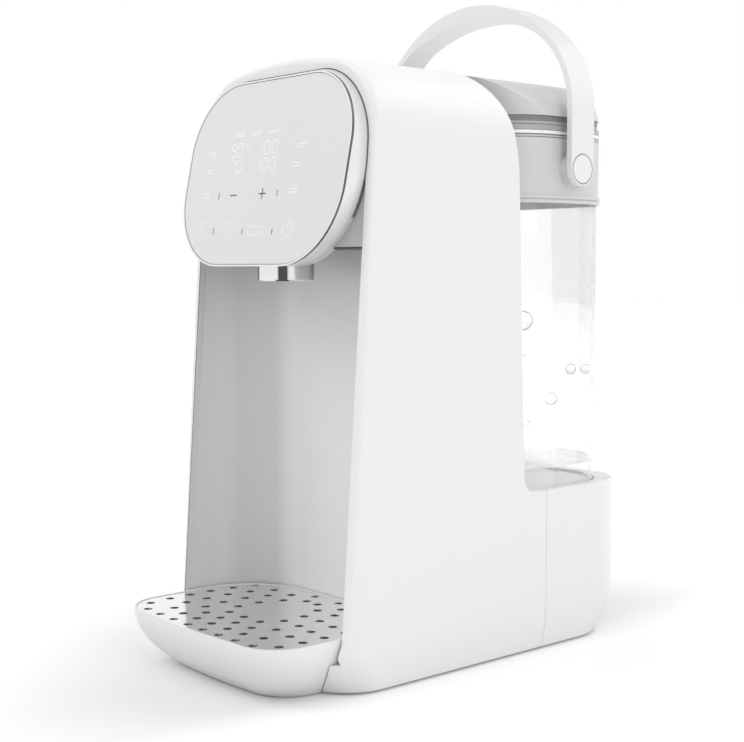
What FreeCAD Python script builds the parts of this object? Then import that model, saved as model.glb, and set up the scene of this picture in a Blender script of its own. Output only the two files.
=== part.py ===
import FreeCAD, Part
import math
import os

# Countertop formula machine: water tank at the back, heated column in the middle,
# bottle niche and drip tray in front, touch panel on the head above the niche.
# Frame: millimetres, +Z up, front towards -Y, origin on the table under the middle.

# ---------------------------------------------------------------- driving dimensions
# Overall
overall_depth = 286.0
body_width = 160.0
roof_height = 345.0
foot_gap = 1.6                 # the shell stands this far above the table

# Outer shell (cowl)
shell_wall = 2.5
roof_corner_radius = 39.0
roof_crown_radius = 280.0
lip_width = 4.8                # front rim of the side walls, seen from the front
lip_depth = 4.0
lip_foot_setback = 49.0        # from the front of the tray to the lip at lip_foot_height
lip_foot_height = 36.0
lip_rake = 0.0695              # the lip leans back this much per millimetre of height
lip_round = 3.2
toe_height = 19.5
toe_setback = 31.0             # from the front of the tray to the toe
toe_corner_radius = 30.0
toe_sweep_radius = 12.0
tuck_height = 30.0             # below this the shell curves in towards the table
side_tuck = 3.5
front_tuck = 15.0
rear_tuck = 11.5
rear_corner_radius = 35.0

# Rear edge of the cowl
cowl_rear_reach = 184.0        # from the front of the tray to the foot of the rear edge
cowl_rear_lean = 0.0345
shoulder_drop = 28.0           # below the crown of the roof
shoulder_angle = 43.0
shoulder_radius = 100.0
cowl_tail = 19.0               # the low part of the side wall runs on this far back
cowl_tail_radius = 9.0
column_inset = 3.0             # rear cover of the column, inside the wall edges

# Niche
niche_corner_radius = 45.0
niche_reach = 106.5            # from the front of the tray to the niche's back wall
liner_wall = 2.0

# Head and control panel
panel_height = 107.9           # along its slope
panel_top_gap = 9.7            # from the crown of the roof to the top of the panel
panel_overhang = 9.3           # the panel hangs this far below the niche's ceiling
panel_setback = 54.1           # from the front of the tray to the middle of the panel
panel_angle = 11.9
panel_side_gap = 6.0           # from the side of the body to the panel
panel_top_radius = 41.0
panel_bottom_radius = 44.0
pod_flare = 1.8                # the pod widens this much on each side, back to the shell
pod_top_flare = 1.2
pod_top_radius = 42.0          # where the pod meets the shell
pod_bottom_radius = 58.0
trim_width = 1.0
trim_proud = 0.3
glass_thickness = 1.0
pod_wall = 2.4
pod_spigot = 9.0
glass_seat_width = 4.6
glass_seat_depth = 2.0
board_thickness = 1.6
board_edge_gap = 3.5
digit_window_low = 6.0         # digit block, from the middle of the panel
digit_window_high = 20.0
digit_window_left = 36.0
digit_window_right = 18.0
pad_radius = 5.0
pad_pitch = 27.5
pad_row_drop = 31.0
head_face_depth = 1.0          # grey face beside the pod, behind the lip's front

# Nozzle
nozzle_radius = 16.0
nozzle_drop = 17.6
nozzle_wall = 1.6
nozzle_setback = 70.5          # from the front of the tray
outlet_radius = 10.5
outlet_hole_radius = 1.3
outlet_hole_ring = 6.0
outlet_chamber_radius = 7.9

# Drip tray and grille
tray_height = 33.0
tray_side_gap = 6.5            # from the side of the body to the tray
tray_side_tuck = 17.5
tray_front_tuck = 21.0
tray_front_radius = 25.0
tray_front_bow = 3.0
tray_bow_radius = 400.0
tray_wall = 2.2
tray_lift = 0.6
tray_step_setback = 57.0       # behind this the tray rides above the base plate
grille_thickness = 1.0
grille_drop = 0.4
grille_hole_radius = 2.5
grille_ring_count = 4
grille_first_margin = 9.5
grille_ring_step = 14.0
grille_front_step = 10.9
grille_hole_pitch = 14.6
grille_front_margin = 6.5
grille_corner_radius = 15.0
grille_waist = 59.0            # from the front of the tray to where the rings start to close
grille_tail = 30.0             # innermost ring, from the waist back
grille_tail_step = 12.0
ring_steps = 80                # points per stretch along which holes are spaced

# Base and dock
deck_height = 97.0
deck_thickness = 2.5
dock_recess = 1.8
plate_thickness = 2.5
valve_reach = 213.0            # from the front of the tray to the tank valve
socket_radius = 15.0
socket_depth = 17.0
socket_wall = 2.5
spout_length = 12.0
spout_offset = 6.0

# Tank, collar and lid
tank_side_gap = 6.0            # from the side of the body to the tank wall
tank_rear_gap = 10.5           # from the back of the base to the tank wall
tank_corner_radius = 36.0      # all four upright corners
tank_wall = 2.4
tank_floor_rise = 11.5         # tank floor above the deck
collar_height = 38.0
collar_lap = 10.5              # the collar wraps this much of the tank's rim
collar_skin = 1.2              # collar, band and lid stand this far outside the tank wall
collar_wall = 4.2
flange_height = 4.5
flange_reach = 0.9
band_height = 7.6
seal_height = 5.4
lid_height = 21.0
lid_drop = 6.0                 # lid top below the crown of the roof
lid_round = 24.0
lid_wall = 2.4
lid_front_gap = 0.8            # lid front to the rear edge of the roof
lid_plug_depth = 6.0
seal_inset = 1.2

# Handle
handle_side_gap = 5.8          # from the collar's side to the strap
handle_thickness = 3.8         # at the legs
handle_width = 20.0
handle_leg = 36.0              # straight leg from the pivot up to the shoulder
handle_shoulder_radius = 58.0
handle_crown_rise = 11.4       # the top of the arch above a plain quarter circle
grip_thickness = 10.0          # at the top of the arch
pivot_drop = 18.0              # pivot below the top of the collar
pivot_reach = 227.0            # from the front of the tray to the pivot
pivot_radius = 4.0
pivot_cap_radius = 8.9
pivot_cap_depth = 1.6
pivot_boss_radius = 9.8

# Inside the column
heater_radius = 18.0
heater_length = 104.0
heater_bottom = 112.0
heater_band = 8.0
heater_step = 1.5              # the bands stand this far proud of the tube
clip_height = 12.0
clip_margin = 22.0
pump_lift = 6.0                # floor of the pump's rubber cup
pump_cup_height = 16.0
pump_port_offset = 6.0
port_length = 10.0
pump_radius = 15.0
pump_length = 46.0
hose_radius = 4.0
hose_bore_radius = 2.6
valve_radius = 9.0
cage_height = 16.0
plunger_disc_height = 3.0
spring_wire = 0.8
spring_turns = 4

# Control board in the column
pcb_inner_edge = 14.0
pcb_width = 43.2
pcb_height = 62.0
pcb_rise = 30.0
pcb_standoff = 8.0
pcb_margin = 4.0
relay_width = 17.0
relay_depth = 13.0
can_radius = 5.0
can_height = 16.0
standoff_radius = 2.2

# Feet, screws and power inlet
foot_radius = 9.0
screw_radius = 1.6
screw_head_radius = 3.2
inlet_width = 26.0
inlet_height = 17.0
inlet_depth = 16.0
inlet_middle_height = 48.0

# Named clearances
fit_gap = 0.3                  # pieces that sit side by side
running_gap = 0.05             # radial, shaft in its hole
tank_gap = 3.0                 # tank front to column cover
tray_gap = 0.9

# ---------------------------------------------------------------- derived places
front_y = -overall_depth / 2
rear_y = overall_depth / 2
half_width = body_width / 2
niche_half = half_width - lip_width
panel_lean = math.radians(panel_angle)
panel_rise = panel_height / 2 * math.cos(panel_lean)
panel_middle_height = roof_height - panel_top_gap - panel_rise
niche_height = panel_middle_height - panel_rise + panel_overhang
shoulder_height = roof_height - shoulder_drop
niche_back_y = front_y + niche_reach
lip_foot_y = front_y + lip_foot_setback
toe_y = front_y + toe_setback
tail_y = front_y + cowl_rear_reach + cowl_tail
panel_half = half_width - panel_side_gap
trim_depth = glass_thickness + fit_gap
panel_y = front_y + panel_setback
nozzle_y = front_y + nozzle_setback
tray_half = half_width - tray_side_gap
tray_rear_y = niche_back_y - tray_gap
tray_step_y = front_y + tray_step_setback
tank_half = half_width - tank_side_gap
tank_rear_y = rear_y - tank_rear_gap
tank_floor_height = deck_height + tank_floor_rise
lid_top = roof_height - lid_drop
lid_bottom = lid_top - lid_height
band_top = lid_bottom - seal_height
collar_top = band_top - band_height
collar_bottom = collar_top - collar_height
pivot_height = collar_top - pivot_drop
handle_shoulder_height = pivot_height + handle_leg
handle_top = handle_shoulder_height + handle_shoulder_radius + handle_crown_rise
handle_half = tank_half + collar_skin + handle_side_gap + handle_thickness
valve_y = front_y + valve_reach
pivot_y = front_y + pivot_reach
plate_bottom = foot_gap + fit_gap
plate_top = plate_bottom + plate_thickness
heater_y = niche_back_y + liner_wall + heater_radius + 8.0
frame_y = heater_y + heater_radius + 5.0
ceiling_top = niche_height + 2.5
above_all = roof_height + 15.0
far = overall_depth


# ---------------------------------------------------------------- shape helpers
def vec(x, y, z):
    return FreeCAD.Vector(x, y, z)


def on_plan(z):
    return lambda a, b: vec(a, b, z)


def on_side(x):
    return lambda a, b: vec(x, a, b)


def on_front(y):
    return lambda a, b: vec(a, y, b)


def rounded_wire(corners, place):
    """Closed wire through (a, b, radius) corners, each rounded by a tangent arc."""
    flat = [vec(a, b, 0) for a, b, radius in corners]
    count = len(corners)
    bends = []
    for index in range(count):
        here = flat[index]
        inward = (flat[index - 1] - here).normalize()
        onward = (flat[(index + 1) % count] - here).normalize()
        radius = corners[index][2]
        if radius <= 0:
            bends.append((here, None, here))
            continue
        half_angle = inward.getAngle(onward) / 2
        reach = radius / math.tan(half_angle)
        middle = (inward + onward).normalize()
        summit = here + middle * (radius / math.sin(half_angle) - radius)
        bends.append((here + inward * reach, summit, here + onward * reach))
    edges = []
    for index in range(count):
        start, summit, end = bends[index]
        after = bends[(index + 1) % count][0]
        if summit is not None:
            arc = Part.Arc(place(start.x, start.y), place(summit.x, summit.y), place(end.x, end.y))
            edges.append(arc.toShape())
        if (after - end).Length > 1e-5:
            edges.append(Part.makeLine(place(end.x, end.y), place(after.x, after.y)))
    return Part.Wire(edges)


def prism(wire, along):
    return Part.Face(wire).extrude(along)


def plan_block(corners, low, high):
    return prism(rounded_wire(corners, on_plan(low)), vec(0, 0, high - low))


def side_block(corners, half):
    return prism(rounded_wire(corners, on_side(-half)), vec(2 * half, 0, 0))


def box(low_x, low_y, low_z, high_x, high_y, high_z):
    return Part.makeBox(high_x - low_x, high_y - low_y, high_z - low_z, vec(low_x, low_y, low_z))


def post(radius, low, high, x, y):
    return Part.makeCylinder(radius, high - low, vec(x, y, low))


def cross_rod(radius, low_x, high_x, y, z):
    return Part.makeCylinder(radius, high_x - low_x, vec(low_x, y, z), vec(1, 0, 0))


def slot_corners(half, front, rear, front_radius, rear_radius):
    return [(-half, front, front_radius), (half, front, front_radius),
            (half, rear, rear_radius), (-half, rear, rear_radius)]


def joined(shapes):
    whole = shapes[0].multiFuse(shapes[1:])
    return whole.removeSplitter()


# ---------------------------------------------------------------- outer forms
def lip_y(z):
    """Front edge of the side walls, which leans back with height."""
    return lip_foot_y + lip_rake * (z - lip_foot_height)


def lip_line(offset, low, high):
    return [(lip_y(low) + offset, low, 0), (lip_y(high) + offset, high, 0)]


def rear_line(offset):
    """Rear edge of the cowl from the deck up, bending forward at the shoulder."""
    foot_y = front_y + cowl_rear_reach
    shoulder_y = foot_y - cowl_rear_lean * (shoulder_height - deck_height)
    top_y = shoulder_y - math.tan(math.radians(shoulder_angle)) * (above_all - shoulder_height)
    return [(foot_y + offset, deck_height, 0), (shoulder_y + offset, shoulder_height, shoulder_radius),
            (top_y + offset, above_all, 0)]


def hull_outline(z, inset):
    """Plan outline of the body at height z: full above the tuck, drawn in below it."""
    drop = max(0.0, tuck_height - z) / (tuck_height - foot_gap)
    share = drop * drop
    half = half_width - side_tuck * share - inset
    front = toe_y + front_tuck * share + inset
    rear = rear_y - rear_tuck * share - inset
    return slot_corners(half, front, rear, toe_corner_radius - inset, rear_corner_radius - inset)


def body_hull(inset):
    levels = [foot_gap + (tuck_height - foot_gap) * step / 3 for step in range(4)]
    skirt = Part.makeLoft([rounded_wire(hull_outline(z, inset), on_plan(z)) for z in levels], True)
    upper = plan_block(hull_outline(tuck_height, inset), tuck_height, above_all)
    lower = plan_block(hull_outline(foot_gap, inset), foot_gap - 5.0, foot_gap)
    return joined([lower, skirt, upper])


def arch(inset, low, high_y, low_y):
    """Inverted U of the body in front view, with rounded shoulders and a crowned roof."""
    corner_x = half_width - roof_corner_radius
    crown_z = roof_height - roof_crown_radius
    rise = math.sqrt((roof_crown_radius - roof_corner_radius) ** 2 - corner_x ** 2)
    corner_z = crown_z + rise
    lean = math.atan2(corner_x, rise)
    corner_radius = roof_corner_radius - inset

    def on_corner(angle, side):
        x = corner_x + corner_radius * math.sin(angle)
        return vec(side * x, low_y, corner_z + corner_radius * math.cos(angle))

    middle = (lean + math.pi / 2) / 2
    half = half_width - inset
    summit = vec(0, low_y, roof_height - inset)
    edges = [
        Part.makeLine(vec(half, low_y, low), vec(half, low_y, corner_z)),
        Part.Arc(vec(half, low_y, corner_z), on_corner(middle, 1), on_corner(lean, 1)).toShape(),
        Part.Arc(on_corner(lean, 1), summit, on_corner(lean, -1)).toShape(),
        Part.Arc(on_corner(lean, -1), on_corner(middle, -1), vec(-half, low_y, corner_z)).toShape(),
        Part.makeLine(vec(-half, low_y, corner_z), vec(-half, low_y, low)),
        Part.makeLine(vec(-half, low_y, low), vec(half, low_y, low)),
    ]
    return prism(Part.Wire(edges), vec(0, high_y - low_y, 0))


def behind_column(offset):
    """Everything behind the cowl's rear edge line moved back by offset."""
    line = rear_line(offset)
    foot_y = line[0][0]
    corners = [(foot_y, -far, 0)] + line + [(far, above_all, 0), (far, -far, 0)]
    return side_block(corners, far)


def panel_outline(inset, y_shift):
    """Rounded panel outline on its tilted plane, moved back by y_shift."""
    half = panel_half - inset
    reach = panel_height / 2 - inset
    corners = [(-half, -reach, panel_bottom_radius - inset), (half, -reach, panel_bottom_radius - inset),
               (half, reach, panel_top_radius - inset), (-half, reach, panel_top_radius - inset)]

    def place(a, b):
        return vec(a, panel_y + y_shift + b * math.sin(panel_lean),
                   panel_middle_height + b * math.cos(panel_lean))

    return rounded_wire(corners, place)


def pod_seam(inset):
    """Outline where the pod meets the shell, a little wider and higher than the panel."""
    slant = math.sqrt(1 + lip_rake ** 2)
    half = panel_half + pod_flare - inset
    low = -panel_rise * slant + inset
    high = (panel_rise + pod_top_flare) * slant - inset
    corners = [(-half, low, pod_bottom_radius - inset), (half, low, pod_bottom_radius - inset),
               (half, high, pod_top_radius - inset), (-half, high, pod_top_radius - inset)]

    def place(a, b):
        z = panel_middle_height + b / slant
        return vec(a, lip_y(z), z)

    return rounded_wire(corners, place)


def pod_block(inset):
    """Solid of the pod: from the trim ring back to its seam, then straight into the body."""
    taper = Part.makeLoft([panel_outline(inset, trim_depth), pod_seam(inset)], True, True)
    return joined([taper, prism(pod_seam(inset), vec(0, far / 4, 0))])


def panel_slab(inset, low_shift, high_shift):
    return prism(panel_outline(inset, low_shift), vec(0, high_shift - low_shift, 0))


# ---------------------------------------------------------------- shell and base
def make_cowl():
    outer_corners = [(lip_y(above_all), above_all, 0),
                     (lip_y(toe_height + 3.0), toe_height + 3.0, toe_sweep_radius),
                     (front_y, toe_height - 2.0, 0),
                     (front_y, foot_gap, 0),
                     (tail_y, foot_gap, 0),
                     (tail_y, deck_height, 2.0),
                     (front_y + cowl_rear_reach, deck_height, cowl_tail_radius)]
    outer_corners += rear_line(0)[1:]
    outer = side_block(outer_corners, half_width)
    outer = outer.common(arch(0, foot_gap, far, front_y))
    outer = outer.common(body_hull(0))
    outer = rounded_lip(outer)
    cavity_corners = [(front_y, foot_gap - 3.0, 0), (front_y, toe_height - 4.5, 0),
                      (lip_y(toe_height) + lip_depth, toe_height - 4.5, 0),
                      (lip_y(above_all) + lip_depth, above_all, 0),
                      (far, above_all, 0), (far, foot_gap - 3.0, 0)]
    cavity = side_block(cavity_corners, half_width)
    cavity = cavity.common(arch(shell_wall, foot_gap - 3.0, far, front_y))
    cavity = cavity.common(body_hull(shell_wall))
    niche_mouth = box(-niche_half, front_y, toe_height, niche_half, niche_back_y, panel_middle_height)
    pod_mouth = pod_block(-fit_gap)
    cowl = outer.cut(cavity).cut(niche_mouth).cut(pod_mouth).cut(tray_bowl(-tray_gap, -far, far))
    return cowl


def rounded_lip(shape):
    """Round the outer front edge of the walls and the roof."""
    wanted = []
    for edge in shape.Edges:
        middle = edge.CenterOfMass
        on_lip = all(abs(v.Y - lip_y(v.Z)) < 0.01 for v in edge.Vertexes)
        if on_lip and middle.z > tuck_height and abs(middle.y - lip_y(middle.z)) < 0.5:
            wanted.append(edge)
    return shape.makeFillet(lip_round, wanted)


def make_dock_cover():
    """Rear base housing with the deck that the tank stands on."""
    low = foot_gap - 3.0
    region = box(-far, tail_y + fit_gap, foot_gap, far, far, deck_height)
    outer = body_hull(0).common(region)
    inside = body_hull(shell_wall).common(box(-far, -far, low, far, far, deck_height - deck_thickness))
    deck_front = front_y + cowl_rear_reach - column_inset - shell_wall - 1.0
    tongue_half = half_width - shell_wall - fit_gap
    tongue = box(-tongue_half, deck_front, deck_height - deck_thickness - dock_recess,
                 tongue_half, tail_y + shell_wall, deck_height)
    floor = plan_block(tank_corners(-3.0, deck_front), deck_height - deck_thickness - dock_recess,
                       deck_height - 1.0)
    cover = joined([outer.cut(inside), tongue, floor])
    recess = plan_block(tank_corners(-0.8, deck_front - 5.0), deck_height - dock_recess, above_all)
    recess = recess.common(behind_column(-column_inset))
    cover = cover.cut(recess)
    cover = cover.cut(post(socket_radius + fit_gap, 0, above_all, 0, valve_y))
    inlet_cut = box(-inlet_width / 2, tank_rear_y - 10.0, inlet_middle_height - inlet_height / 2,
                    inlet_width / 2, far, inlet_middle_height + inlet_height / 2)
    return cover.cut(inlet_cut)


def make_base_plate():
    corners = hull_outline(foot_gap, shell_wall + fit_gap)
    outline = slot_corners(corners[1][0], tray_step_y + 1.0, corners[2][1], 4.0, corners[2][2])
    plate = plan_block(outline, plate_bottom, plate_top).common(plan_block(corners, 0, above_all))
    ribs = []
    for side in (-1, 1):
        rail_x = side * tray_half * 0.55
        ribs.append(box(rail_x - 1.5, tray_step_y + 6.0, plate_top - 0.5,
                        rail_x + 1.5, tray_rear_y - 4.0, plate_top + 1.6))
    plate = joined([plate] + ribs)
    for x, y in foot_places():
        plate = plate.cut(post(foot_radius * 0.45, 0, plate_top + 1.0, x, y))
    for x, y in screw_places():
        plate = plate.cut(post(screw_radius + fit_gap, 0, plate_top + 1.0, x, y))
    return plate


def foot_places():
    front_foot_y = tray_step_y + 14.0
    rear_foot_y = rear_y - rear_tuck - shell_wall - foot_radius - 8.0
    front_x = half_width - side_tuck - shell_wall - foot_radius - 5.0
    rear_x = front_x - 14.0
    return [(-front_x, front_foot_y), (front_x, front_foot_y), (-rear_x, rear_foot_y), (rear_x, rear_foot_y)]


def screw_places():
    screw_x = half_width - side_tuck - shell_wall - 9.0
    return [(side * screw_x, y) for side in (-1, 1) for y in (niche_back_y + 12.0, tail_y - 8.0)]


def make_feet():
    feet = []
    for x, y in foot_places():
        pad = post(foot_radius, 0, plate_bottom, x, y)
        stem = post(foot_radius * 0.45 - 0.1, plate_bottom, plate_top + 0.8, x, y)
        feet.append(joined([pad, stem]))
    return Part.makeCompound(feet)


def make_screws():
    screws = []
    for x, y in screw_places():
        shank = post(screw_radius, plate_bottom, plate_top + 8.0, x, y)
        head = post(screw_head_radius, plate_bottom - 1.2, plate_bottom, x, y)
        screws.append(joined([shank, head]))
    return Part.makeCompound(screws)


def make_screw_posts():
    """Bosses between the base plate and the column that the screws bite into."""
    posts = []
    for x, y in screw_places():
        boss = post(screw_radius + 2.2, plate_top, plate_top + 14.0, x, y)
        posts.append(boss.cut(post(screw_radius + 0.05, 0, plate_top + 11.0, x, y)))
    return Part.makeCompound(posts)


# ---------------------------------------------------------------- niche and head
def make_niche_liner():
    half = niche_half + liner_wall
    outer = plan_block(slot_corners(half, front_y, niche_back_y + liner_wall, 0,
                                    niche_corner_radius + liner_wall), plate_top, niche_height)
    inner = plan_block(slot_corners(niche_half, front_y - 5.0, niche_back_y, 0, niche_corner_radius),
                       0, above_all)
    region_corners = [(lip_y(0) + lip_depth + fit_gap, 0, 0),
                      (lip_y(above_all) + lip_depth + fit_gap, above_all, 0),
                      (far, above_all, 0), (far, 0, 0)]
    liner = outer.cut(inner).common(side_block(region_corners, far))
    return liner.common(body_hull(shell_wall + fit_gap))


def make_head_ceiling():
    """Plate over the niche that carries the nozzle."""
    plate = plan_block(slot_corners(niche_half + liner_wall, front_y, niche_back_y + liner_wall, 0,
                                    niche_corner_radius + liner_wall), niche_height, ceiling_top)
    region_corners = [(lip_y(0) + lip_depth + fit_gap, 0, 0),
                      (lip_y(above_all) + lip_depth + fit_gap, above_all, 0),
                      (far, above_all, 0), (far, 0, 0)]
    plate = plate.common(side_block(region_corners, far))
    face_corners = lip_line(head_face_depth, niche_height, panel_middle_height - fit_gap)
    face_corners += [(y + lip_depth, z, radius) for y, z, radius in reversed(face_corners)]
    face = side_block(face_corners, niche_half - fit_gap)
    plate = joined([plate, face])
    pod_corners = lip_line(-far, 0, above_all) + list(reversed(lip_line(pod_spigot + fit_gap, 0, above_all)))
    plate = plate.cut(pod_block(-fit_gap).common(side_block(pod_corners, far)))
    boss = post(nozzle_radius - 2.0, niche_height, ceiling_top + 6.0, 0, nozzle_y)
    bore = post(outlet_radius * 0.6 + fit_gap, 0, above_all, 0, nozzle_y)
    return joined([plate, boss]).cut(bore)


def make_pod():
    """White head shell between the glass and the cowl, closed behind below the ceiling."""
    block = pod_block(0)
    tube = block.cut(pod_block(pod_wall))
    seat_low = trim_depth
    seat_high = seat_low + glass_seat_depth
    seat = panel_slab(0, seat_low, seat_high).common(block)
    seat = seat.cut(panel_slab(pod_wall + glass_seat_width, seat_low - 1.0, seat_high + 1.0))
    web_corners = lip_line(head_face_depth, 0, ceiling_top)
    web_corners += [(y + pod_wall, z, radius) for y, z, radius in reversed(web_corners)]
    web = block.common(side_block(web_corners, far))
    rear = head_face_depth + pod_wall
    reach_corners = [(-far, 0, 0), (lip_y(0) + rear, 0, 0), (lip_y(niche_height) + rear, niche_height, 0),
                     (lip_y(niche_height) + pod_spigot, niche_height, 0),
                     (lip_y(above_all) + pod_spigot, above_all, 0), (-far, above_all, 0)]
    pod = joined([tube, seat, web]).common(side_block(reach_corners, far))
    nozzle_room = post(nozzle_radius + fit_gap, 0, niche_height, 0, nozzle_y)
    return pod.cut(nozzle_room).cut(post(nozzle_radius - 1.0, 0, ceiling_top + 7.0, 0, nozzle_y))


def make_trim_ring():
    ring = panel_slab(0, -trim_proud, trim_depth)
    return ring.cut(panel_slab(trim_width, -1.0, trim_depth + 1.0))


def make_glass():
    return panel_slab(trim_width + fit_gap, 0, glass_thickness)


def make_display_board():
    front = glass_thickness + 2 * fit_gap + glass_seat_depth
    return panel_slab(pod_wall + board_edge_gap, front, front + board_thickness)


def make_display_module():
    """Lit digit block and touch pads on the front of the board, behind the glass."""
    low = glass_thickness + fit_gap
    digits = panel_slab(0, low, low + glass_seat_depth + fit_gap)
    window = box(-digit_window_left, -far, panel_middle_height - digit_window_low,
                 digit_window_right, far, panel_middle_height + digit_window_high)
    pads = []
    pad_height = panel_middle_height - pad_row_drop
    for place in (-1.5, -0.5, 0.5, 1.5):
        x = place * pad_pitch - (digit_window_left - digit_window_right) / 2
        pads.append(Part.makeCylinder(pad_radius, far, vec(x, -far / 2, pad_height), vec(0, 1, 0)))
    pieces = [digits.common(window)] + [digits.common(pad) for pad in pads]
    return Part.makeCompound(pieces)


def make_nozzle_sleeve():
    bottom = niche_height - nozzle_drop
    profile = [(nozzle_radius - 0.8, bottom, 0), (nozzle_radius, bottom + 0.8, 0),
               (nozzle_radius, niche_height, 0), (nozzle_radius - nozzle_wall, niche_height, 0),
               (nozzle_radius - nozzle_wall, bottom + 2.0, 0), (outlet_radius + fit_gap, bottom + 2.0, 0),
               (outlet_radius + fit_gap, bottom, 0)]
    wire = rounded_wire(profile, on_front(0))
    sleeve = Part.Face(wire).revolve(vec(0, 0, 0), vec(0, 0, 1), 360)
    sleeve.translate(vec(0, nozzle_y, 0))
    return sleeve


def make_nozzle_outlet():
    """Soft diffuser in the sleeve, with a spigot up through the ceiling."""
    bottom = niche_height - nozzle_drop + 0.6
    disc = post(outlet_radius, bottom, bottom + 5.0, 0, nozzle_y)
    stem = post(outlet_radius * 0.6, bottom + 4.0, ceiling_top + 14.0, 0, nozzle_y)
    outlet = joined([disc, stem])
    outlet = outlet.cut(post(hose_bore_radius, bottom + 3.0, above_all, 0, nozzle_y))
    outlet = outlet.cut(post(outlet_chamber_radius, bottom + 2.2, bottom + 3.8, 0, nozzle_y))
    for turn in range(6):
        angle = math.radians(60 * turn)
        x = outlet_hole_ring * math.cos(angle)
        y = nozzle_y + outlet_hole_ring * math.sin(angle)
        outlet = outlet.cut(post(outlet_hole_radius, bottom - 1.0, bottom + 3.0, x, y))
    return outlet


# ---------------------------------------------------------------- drip tray
def tray_outline(z, inset):
    """Bowed plan outline of the tray, drawn in towards its foot like a boat."""
    share = (max(0.0, tray_height - z) / tray_height) ** 2.2
    half = tray_half - tray_side_tuck * share - inset
    slope = math.atan2(tray_front_bow, half)
    blunting = tray_bow_radius * (1 / math.cos(slope) - 1)
    front = front_y + tray_front_tuck * share + inset - blunting
    radius = tray_front_radius - inset
    rear_radius = niche_corner_radius - tray_gap - inset
    return [(-half, front + tray_front_bow, radius), (0, front, tray_bow_radius),
            (half, front + tray_front_bow, radius), (half, tray_rear_y - inset, rear_radius),
            (-half, tray_rear_y - inset, rear_radius)]


def tray_bowl(inset, low, high):
    levels = [tray_lift + (tray_height - tray_lift) * step / 4 for step in range(5)]
    bowl = Part.makeLoft([rounded_wire(tray_outline(z, inset), on_plan(z)) for z in levels], True)
    pieces = [bowl]
    if low < tray_lift:
        pieces.append(plan_block(tray_outline(tray_lift, inset), max(low, foot_gap - 6.0), tray_lift))
    if high > tray_height:
        pieces.append(plan_block(tray_outline(tray_height, inset), tray_height, tray_height + 3.0))
    return joined(pieces)


def make_tray():
    outer = tray_bowl(0, tray_lift, tray_height)
    step = box(-far, tray_step_y, -1.0, far, far, plate_top + 1.9)
    inner = tray_bowl(tray_wall, tray_lift, far)
    front_room = box(-far, -far, tray_lift + tray_wall, far, tray_step_y - tray_wall, above_all)
    rear_room = box(-far, tray_step_y - tray_wall - 1.0, plate_top + 1.9 + tray_wall, far, far, above_all)
    room = inner.common(joined([front_room, rear_room]))
    tray = outer.cut(step).cut(room)
    ledge_top = tray_height - grille_drop - grille_thickness - fit_gap
    ledge = plan_block(tray_outline(tray_height, tray_wall - 0.5), ledge_top - 2.0, ledge_top)
    ledge = ledge.cut(plan_block(tray_outline(tray_height, tray_wall + 3.0), 0, above_all))
    tray = joined([tray, ledge.common(outer)])
    return tray.cut(plan_block(tray_outline(tray_height, tray_wall - 1.0), ledge_top, above_all))


def ring_curve(margin_steps):
    """Points along half a ring of holes: bowed front, round corner, straight side, egg-shaped rear."""
    margin = grille_first_margin + margin_steps * grille_ring_step
    half = tray_half - margin
    front = front_y + grille_front_margin + margin_steps * grille_front_step
    corner = min(grille_corner_radius, half * 0.45)
    waist_y = front_y + grille_waist
    tail = grille_tail + grille_tail_step * (grille_ring_count - 1 - margin_steps)

    def bow(x):
        return front + tray_front_bow * (x / tray_half) ** 2

    path = []
    for step in range(ring_steps):
        x = (half - corner) * step / ring_steps
        path.append((x, bow(x)))
    for step in range(ring_steps):
        angle = math.pi / 2 * step / ring_steps
        x = half - corner + corner * math.sin(angle)
        path.append((x, bow(x) + corner * (1 - math.cos(angle))))
    side_y = bow(half) + corner
    for step in range(ring_steps):
        path.append((half, side_y + (waist_y - side_y) * step / ring_steps))
    for step in range(ring_steps + 1):
        angle = math.pi / 2 * step / ring_steps
        path.append((half * math.cos(angle), waist_y + tail * math.sin(angle)))
    return path


def ring_holes(margin_steps):
    path = ring_curve(margin_steps)
    places = []
    wanted = grille_hole_pitch / 2 if margin_steps % 2 == 0 else 0.0
    travelled = 0.0
    if wanted == 0.0:
        places.append(path[0])
        wanted = grille_hole_pitch
    for before, after in zip(path, path[1:]):
        travelled += math.hypot(after[0] - before[0], after[1] - before[1])
        if travelled >= wanted:
            places.append(after)
            wanted += grille_hole_pitch
    mirrored = [(-x, y) for x, y in places if x > 0.5]
    return places + mirrored


def grille_outline(z, inset):
    return rounded_wire(tray_outline(tray_height, tray_wall - 1.0 + fit_gap + inset), on_plan(z))


def make_grille():
    top = tray_height - grille_drop
    low = top - grille_thickness
    plate = prism(grille_outline(low, 0), vec(0, 0, grille_thickness))
    rear_limit = tray_rear_y - 2.6 * grille_hole_radius
    holes = []
    for ring in range(grille_ring_count):
        for x, y in ring_holes(ring):
            if y < rear_limit:
                holes.append(post(grille_hole_radius, low - 1.0, top + 1.0, x, y))
    return plate.cut(Part.makeCompound(holes))


# ---------------------------------------------------------------- tank
def tank_corners(inset, front):
    return slot_corners(tank_half - inset, front, tank_rear_y - inset, 6.0, tank_corner_radius - inset)


def front_rounding(half, radius, front, low, high, lean):
    """Everything behind a front that leans forward with height and turns into the sides by radius."""
    corners = slot_corners(half, front, far, radius, 0)
    return prism(rounded_wire(corners, on_plan(low)), vec(0, -lean * (high - low), high - low))


def tank_block(inset, low, high):
    """Block with the tank's plan outline between two heights, its front parallel to the column."""
    block = plan_block(tank_corners(inset, front_y + cowl_rear_reach - 50.0), low, high)
    foot = front_y + cowl_rear_reach - column_inset + tank_gap + inset
    front = foot - cowl_rear_lean * (low - deck_height)
    radius = tank_corner_radius - inset
    return block.common(front_rounding(tank_half - inset, radius, front, low, high, cowl_rear_lean))


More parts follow.
